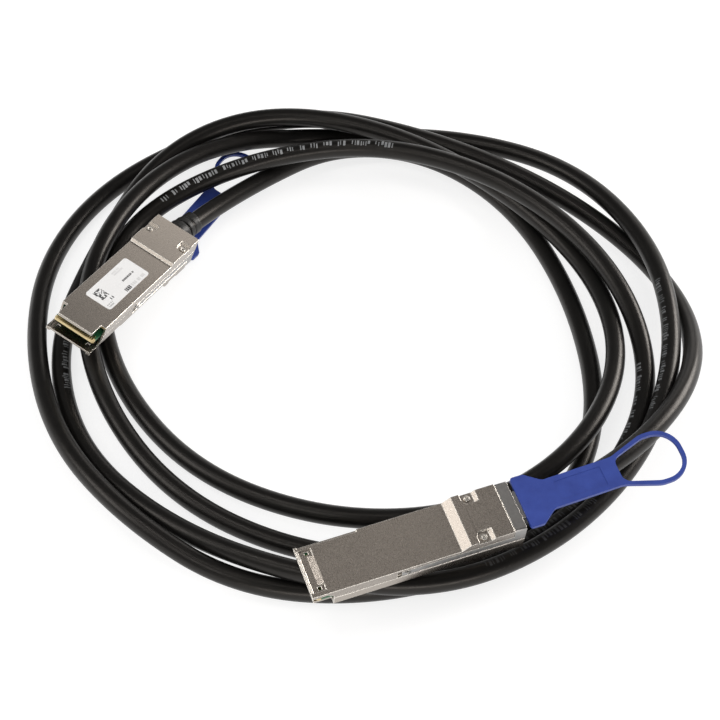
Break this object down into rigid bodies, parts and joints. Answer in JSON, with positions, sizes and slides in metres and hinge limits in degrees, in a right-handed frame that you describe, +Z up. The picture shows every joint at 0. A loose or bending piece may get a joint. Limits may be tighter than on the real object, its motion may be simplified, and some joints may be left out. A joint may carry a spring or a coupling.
{
  "type": "direct attach copper cable",
  "caption": "A direct attach copper cable: black twinaxial cord coiled in loose loops between pluggable metal housings with sliding latches and blue finger-loop pull tabs.",
  "frame": {"origin": "centre of the bounding box in X and Y, lowest point in Z (the surface it lies on)", "axes": "+Z up from the surface it lies on, +X to the right and +Y away from the viewer of the picture"},
  "size_m": [0.2422, 0.2435, 0.0327],
  "materials": {
    "housing_metal": "satin nickel plate",
    "circuit_card": "green solder resist",
    "contact_gold": "gold plate",
    "chip_black": "matte",
    "wire_insulation": "natural",
    "potting": "moulded",
    "ferrule_metal": "plain",
    "boot_rubber": "matte",
    "slider_steel": "plain",
    "tab_plastic": "satin blue",
    "label_white": "paper",
    "jacket_rubber": "satin black"
  },
  "bodies": {
    "root": {"far_bottom_shell": "housing_metal", "far_top_shell": "housing_metal", "far_shell_rivets": "housing_metal", "far_paddle_card": "circuit_card", "far_contact_pads": "contact_gold", "far_board_chip": "chip_black", "far_wire_pairs": "wire_insulation", "far_solder_block": "potting", "far_crimp_ferrule": "ferrule_metal", "far_strain_relief": "boot_rubber", "far_slider_springs": "slider_steel", "far_label": "label_white", "near_bottom_shell": "housing_metal", "near_top_shell": "housing_metal", "near_shell_rivets": "housing_metal", "near_paddle_card": "circuit_card", "near_contact_pads": "contact_gold", "near_board_chip": "chip_black", "near_wire_pairs": "wire_insulation", "near_solder_block": "potting", "near_crimp_ferrule": "ferrule_metal", "near_strain_relief": "boot_rubber", "near_slider_springs": "slider_steel", "cable": "jacket_rubber"},
    "far_release": {"far_release_slider": "slider_steel", "far_pull_tab": "tab_plastic"},
    "near_release": {"near_release_slider": "slider_steel", "near_pull_tab": "tab_plastic"}
  },
  "joints": [
    {"name": "far_release_slide", "type": "slide", "parent": "root", "child": "far_release", "axis": [0.4302, 0.8781, -0.2096], "range_m": [0, 0.0035], "stiffness_N_per_m": 400, "springref_m": -0.0025, "deforming": ["far_slider_springs"]},
    {"name": "near_release_slide", "type": "slide", "parent": "root", "child": "near_release", "axis": [0.9354, 0.3535, 0.0087], "range_m": [0, 0.0035], "stiffness_N_per_m": 400, "springref_m": -0.0025, "deforming": ["near_slider_springs"]}
  ]
}
